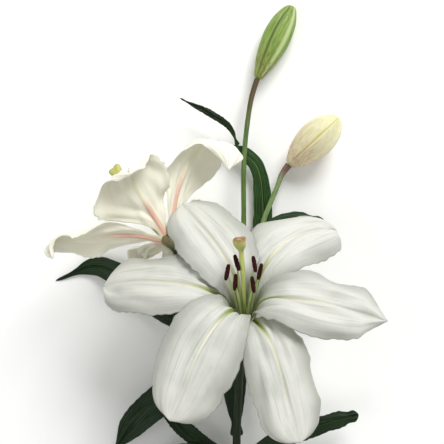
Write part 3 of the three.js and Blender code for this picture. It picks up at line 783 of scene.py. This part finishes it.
def stemRelief(share, turn):
    ridges = 0.09 * mm * np.cos(7 * turn + 2 * share)
    lumps = 0.12 * mm * waves(share * 3 + np.cos(turn), 5, 0.6, 2)
    return (ridges + lumps) * rise(share, 0, 0.02)


piece = roundPiece("stem", 10, "leaf_11", 220, 40, stemRelief, stemSurface("stemSkin", stemLook), True)
piece.data.set_sharp_from_angle(angle=math.radians(50))
keepPiece(piece, "stem", "stem")

stalkLooks = {
    "stalk_main_flower": {
        "foot": (112, 138, 76), "footStreak": (92, 120, 58),
        "top": (140, 156, 88), "topStreak": (112, 134, 64),
        "change": (0.3, 0.9), "tinge": 0.2, "tingeColour": (90, 84, 50), "fleck": (160, 172, 118),
    },
    "stalk_side_flower": {
        "foot": (70, 74, 42), "footStreak": (46, 46, 28), "top": (122, 116, 76), "topStreak": (98, 92, 58),
        "change": (0.9, 0.98), "tinge": 0.3, "tingeColour": (60, 50, 34), "fleck": (140, 148, 98),
    },
    "stalk_green_bud": {
        "foot": (96, 124, 62), "footStreak": (70, 98, 44), "top": (96, 78, 54), "topStreak": (70, 58, 40),
        "change": (0.72, 0.97), "tinge": 0.25, "tingeColour": (84, 74, 46), "fleck": (150, 166, 110),
    },
    "stalk_cream_bud": {
        "foot": (122, 146, 92), "footStreak": (96, 120, 68),
        "top": (128, 98, 90), "topStreak": (102, 78, 66),
        "change": (0.84, 0.98), "tinge": 0.25, "tingeColour": (104, 92, 62), "fleck": (168, 180, 134),
    },
}
stalkForm = {"rows": 150, "around": 24, "ridges": 5, "ridgeDepth": 0.07 * mm, "unevenness": 0.25 * mm}
for name, look in stalkLooks.items():
    material = stalkSurface(name.replace("stalk_", "skinOf_"), look)[0]
    keepPiece(tubePiece(name, 8, "stem", stalkForm, material), "stalk", name)
print("stem and stalks done")

budForms = {
    "green_bud": {"seam": 0.7 * mm, "rib": 0.7 * mm, "ripple": 0.15 * mm, "phase": 0.4},
    "cream_bud": {"seam": 0.9 * mm, "rib": 0.8 * mm, "ripple": 0.15 * mm, "phase": 1.1},
}
budLooks = {
    "green_bud": {
        "body": (138, 162, 80), "streak": (106, 132, 58), "rib": (196, 212, 152), "seam": (84, 98, 42),
        "foot": (126, 104, 60), "tip": (138, 156, 80), "footTo": 0.42, "base": (138, 152, 66),
    },
    "cream_bud": {
        "body": (228, 224, 186), "streak": (216, 212, 164), "rib": (234, 230, 200), "seam": (200, 184, 100),
        "foot": (220, 172, 154), "tip": (216, 216, 152), "footTo": 0.75, "base": (142, 152, 78),
    },
}


def budSurface(name, look, phase):
    material, tree, shader = newSurface(name)
    uv = put(tree, "ShaderNodeUVMap", None, "UV", uv_map="UVMap")
    parts = tree.nodes.new("ShaderNodeSeparateXYZ")
    tree.links.new(uv, parts.inputs[0])
    fibre = mark(tree, "fibre", "Vector")
    share = parts.outputs[0]
    turn = sums(tree, "MULTIPLY", parts.outputs[1], 2 * math.pi)
    waist = sums(tree, "COSINE", sums(tree, "MULTIPLY", sums(tree, "SUBTRACT", turn, phase), 3.0))
    long = put(tree, "ShaderNodeVectorMath", {0: fibre, 1: (0.9, 0.9, 0.07)}, operation="MULTIPLY")
    streaks = noise(tree, long, 1.0, 4, 0.6)
    blotch = noise(tree, fibre, 0.12, 3)
    colour = mix(tree, step(tree, streaks, 0.4, 0.66), paint(*look["body"]), paint(*look["streak"]))
    colour = mix(tree, step(tree, waist, 0.86, 1.0, 0.0, 0.8), colour, paint(*look["rib"]))
    colour = mix(tree, step(tree, waist, -0.999, -0.95, 0.9, 0.0), colour, paint(*look["seam"]))
    patches = sums(tree, "ADD", sums(tree, "MULTIPLY", blotch, 0.3), streaks)
    patches = step(tree, patches, 0.55, 0.8, 0.15, 1.0)
    foot = sums(tree, "MULTIPLY", step(tree, share, 0.04, look["footTo"], 0.9, 0.0), patches)
    colour = mix(tree, foot, colour, paint(*look["foot"]))
    colour = mix(tree, step(tree, share, 0.02, 0.1, 0.9, 0.0), colour, paint(*look["base"]))
    colour = mix(tree, step(tree, share, 0.86, 1.0, 0.0, 0.7), colour, paint(*look["tip"]))
    feed(tree, shader.inputs["Base Color"], colour)
    feed(tree, shader.inputs["Roughness"], step(tree, blotch, 0.3, 0.7, 0.4, 0.52))
    pores = put(tree, "ShaderNodeTexVoronoi", {"Vector": fibre, "Scale": 1.6}, "Distance")
    normal = bump(tree, streaks, 0.0005, 0.6)
    feed(tree, shader.inputs["Normal"], bump(tree, pores, 0.00006, 0.4, normal))
    shader.inputs["Subsurface Weight"].default_value = 0.2
    shader.inputs["Subsurface Scale"].default_value = 0.0015
    shader.inputs["Specular IOR Level"].default_value = 0.4
    return material


for name, form in budForms.items():

    def budRelief(share, turn):
        place = np.cos(3 * (turn - form["phase"]))
        seams = np.exp(-((place + 1) / 0.05) ** 2) * rise(share, 0.02, 0.2)
        ribs = np.exp(-((place - 1) / 0.16) ** 2) * rise(share, 0.02, 0.25) * (1 - rise(share, 0.85, 1))
        ripple = waves(turn * 3 / math.pi + 0.4 * np.sin(4 * share), 7, 1, 1) * np.sin(math.pi * share)
        seams = seams * (1 - 0.5 * rise(share, 0.9, 1))
        return form["rib"] * ribs - form["seam"] * seams + form["ripple"] * ripple

    material = budSurface(name.replace("_bud", "BudSkin"), budLooks[name], form["phase"])
    keepPiece(roundPiece(name, 12, "stalk_" + name, 130, 96, budRelief, material), name, name)
print("buds done")

pistilLook = {
    "ovary": (160, 178, 100), "style": (200, 210, 122), "styleTop": (184, 186, 104),
    "stigma": (132, 108, 62),
    "crown": (206, 164, 124), "streak": (166, 184, 82),
}


def pistilSurface(look):
    material, tree, shader = newSurface("pistilSkin")
    fibre = mark(tree, "fibre", "Vector")
    share = mark(tree, "share")
    long = put(tree, "ShaderNodeVectorMath", {0: fibre, 1: (2.2, 2.2, 0.15)}, operation="MULTIPLY")
    streaks = noise(tree, long, 1.0, 3)
    colour = mix(tree, step(tree, share, 0.22, 0.4), paint(*look["ovary"]), paint(*look["style"]))
    colour = mix(tree, step(tree, streaks, 0.42, 0.7, 0.0, 0.6), colour, paint(*look["streak"]))
    colour = mix(tree, step(tree, share, 0.72, 0.92), colour, paint(*look["styleTop"]))
    colour = mix(tree, step(tree, share, 0.93, 0.965), colour, paint(*look["stigma"]))
    colour = mix(tree, step(tree, share, 0.975, 0.995), colour, paint(*look["crown"]))
    feed(tree, shader.inputs["Base Color"], colour)
    feed(tree, shader.inputs["Roughness"], step(tree, share, 0.92, 0.96, 0.42, 0.3))
    feed(tree, shader.inputs["Normal"], bump(tree, streaks, 0.0003, 0.6))
    shader.inputs["Subsurface Weight"].default_value = 0.15
    shader.inputs["Subsurface Scale"].default_value = 0.001
    return material


def pistilRelief(share, turn):
    ovary = 0.22 * mm * np.cos(6 * turn) * (1 - rise(share, 0.22, 0.32)) * rise(share, 0.01, 0.05)
    lobes = 0.3 * mm * np.cos(3 * turn) * rise(share, 0.9, 0.96)
    style = 0.5 * mm * rise(share, 0.35, 0.75) * (1 - rise(share, 0.88, 0.94))
    return ovary + lobes + style - 0.9 * mm * rise(share, 0.985, 1)


filamentLook = {
    "foot": (208, 214, 178), "footStreak": (190, 200, 146),
    "top": (192, 204, 146), "topStreak": (176, 190, 122),
    "change": (0.2, 0.8), "tinge": 0.1, "tingeColour": (190, 190, 140), "fleck": (196, 202, 158),
}
filamentForm = {"rows": 60, "around": 12, "ridges": 3, "ridgeDepth": 0.05 * mm, "unevenness": 0.12 * mm}
grainForm = {"Grains Per Square Millimetre": 6.0, "Grain Size": 0.16 * mm, "Stretch": 1.0}
papillaForm = {"Grains Per Square Millimetre": 9.0, "Grain Size": 0.11 * mm, "Stretch": 1.6}


# a matt surface with a darker and a lighter tone in small patches
def grainSurface(name, dark, light, rough):
    material, tree, shader = newSurface(name)
    place = put(tree, "ShaderNodeTexCoord", None, "Object")
    patch = noise(tree, place, 420, 3)
    broad = noise(tree, place, 120, 2)
    colour = mix(tree, step(tree, patch, 0.35, 0.68), paint(*dark), paint(*light))
    colour = mix(tree, step(tree, broad, 0.5, 0.75, 0.0, 0.4), colour, paint(*light))
    feed(tree, shader.inputs["Base Color"], colour)
    feed(tree, shader.inputs["Roughness"], step(tree, patch, 0.3, 0.7, rough - 0.08, rough + 0.08))
    feed(tree, shader.inputs["Normal"], bump(tree, patch, 0.0001, 0.7))
    shader.inputs["Specular IOR Level"].default_value = 0.12
    return material


def antherRelief(share, turn):
    body = rise(share, 0.02, 0.15) * (1 - rise(share, 0.85, 0.98))
    furrows = 0.26 * mm * np.abs(np.cos(2 * turn)) ** 0.6 - 0.2 * mm
    return (furrows + 0.08 * mm * waves(share * 6 + np.cos(turn), 3, 0.5, 2)) * body


# where grains may grow on a skin, 0 to 1
def markGrowth(mesh, amounts):
    layer = mesh.attributes.new("grow", "FLOAT", "POINT")
    layer.data.foreach_set("value", amounts.astype(np.float32))


antherTones = {"skin": [(30, 8, 6), (56, 17, 10)], "pollen": [(34, 9, 6), (66, 21, 12)]}
papillaTones = [(170, 124, 88), (222, 184, 146)]
pistilMaterial = pistilSurface(pistilLook)
filamentMaterial = stalkSurface("filamentSkin", filamentLook)[0]
antherMaterial = grainSurface("antherSkin", *antherTones["skin"], 0.7)
pollenMaterial = grainSurface("pollen", *antherTones["pollen"], 0.9)
papillaMaterial = grainSurface("papillae", *papillaTones, 0.4)
for flower in flowers:
    stalk = "stalk_" + flower + "_flower"
    name = flower + "_pistil"
    pistil = keepPiece(roundPiece(name, 12, stalk, 220, 48, pistilRelief, pistilMaterial), "pistil", name)
    mesh = pistil.data.copy()
    shares = np.empty(len(mesh.vertices), np.float32)
    mesh.attributes["share"].data.foreach_get("value", shares)
    markGrowth(mesh, rise(shares, 0.95, 0.98))
    values = {**papillaForm, "Seed": 4, "Surface": papillaMaterial}
    keepPiece(grow(flower + "_papillae", mesh, grains, values), "pistil")
    work = bmesh.new()
    for number in range(1, 7):
        name = f"{flower}_filament_{number}"
        keepPiece(tubePiece(name, 7, stalk, filamentForm, filamentMaterial), "filament", name)
        anther = f"{flower}_anther_{number}"
        piece = roundPiece(anther, 8, name, 60, 32, antherRelief, antherMaterial)
        keepPiece(piece, "anther", anther)
        work.from_mesh(piece.data)
    mesh = bpy.data.meshes.new(flower + "Anthers")
    work.to_mesh(mesh)
    work.free()
    markGrowth(mesh, np.ones(len(mesh.vertices)))
    values = {**grainForm, "Seed": 9, "Surface": pollenMaterial}
    keepPiece(grow(flower + "_pollen", mesh, grains, values), "anther")
print("pistils and stamens done")

view = {"fromPistil": (-0.0068, 0.0663, 0.9334), "lens": 116.04}
low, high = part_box("main_pistil")
cameraData = bpy.data.cameras.new("camera")
cameraData.lens = view["lens"]
cameraData.sensor_width = 36
cameraData.clip_start = 0.05
camera = bpy.data.objects.new("camera", cameraData)
camera.location = [low[i] + view["fromPistil"][i] for i in range(3)]
bpy.context.scene.collection.objects.link(camera)
bpy.context.scene.camera = camera

stage = {"size": 6.0, "colour": (254, 254, 252), "shade": (250, 250, 248)}


def floorSurface(look):
    material, tree, shader = newSurface("paleFloor")
    place = put(tree, "ShaderNodeTexCoord", None, "Object")
    patch = noise(tree, place, 6, 3)
    colour = mix(tree, step(tree, patch, 0.35, 0.65), paint(*look["colour"]), paint(*look["shade"]))
    feed(tree, shader.inputs["Base Color"], colour)
    feed(tree, shader.inputs["Normal"], bump(tree, noise(tree, place, 300, 3), 0.0001, 0.3))
    shader.inputs["Roughness"].default_value = 0.9
    shader.inputs["Specular IOR Level"].default_value = 0.1
    return material


half = stage["size"] / 2
floorMesh = bpy.data.meshes.new("floor")
floorZ = float(cadBox[0][2])
floorCorners = [(x * half, y * half, floorZ) for x, y in ((-1, -1), (1, -1), (1, 1), (-1, 1))]
floorMesh.from_pydata(floorCorners, [], [(0, 1, 2, 3)])
floorMesh.materials.append(floorSurface(stage))
floor = bpy.data.objects.new("floor", floorMesh)
bpy.context.scene.collection.objects.link(floor)

lights = {
    "key": {"place": (0.8, 1.9, 2.0), "power": 68, "size": 1.3},
    "fill": {"place": (-1.6, -0.8, 2.4), "power": 14, "size": 1.8},
}
for name, look in lights.items():
    data = bpy.data.lights.new(name, "AREA")
    data.energy = look["power"]
    data.size = look["size"]
    lamp = bpy.data.objects.new(name, data)
    lamp.location = look["place"]
    lamp.rotation_euler = (-lamp.location).to_track_quat("-Z", "Y").to_euler()
    bpy.context.scene.collection.objects.link(lamp)
world = bpy.data.worlds.new("studio")
world.use_nodes = True
world.node_tree.nodes["Background"].inputs["Color"].default_value = (1, 1, 1, 1)
world.node_tree.nodes["Background"].inputs["Strength"].default_value = 0.45
bpy.context.scene.world = world
bpy.context.scene.view_settings.view_transform = "Standard"

print("lights and camera done")
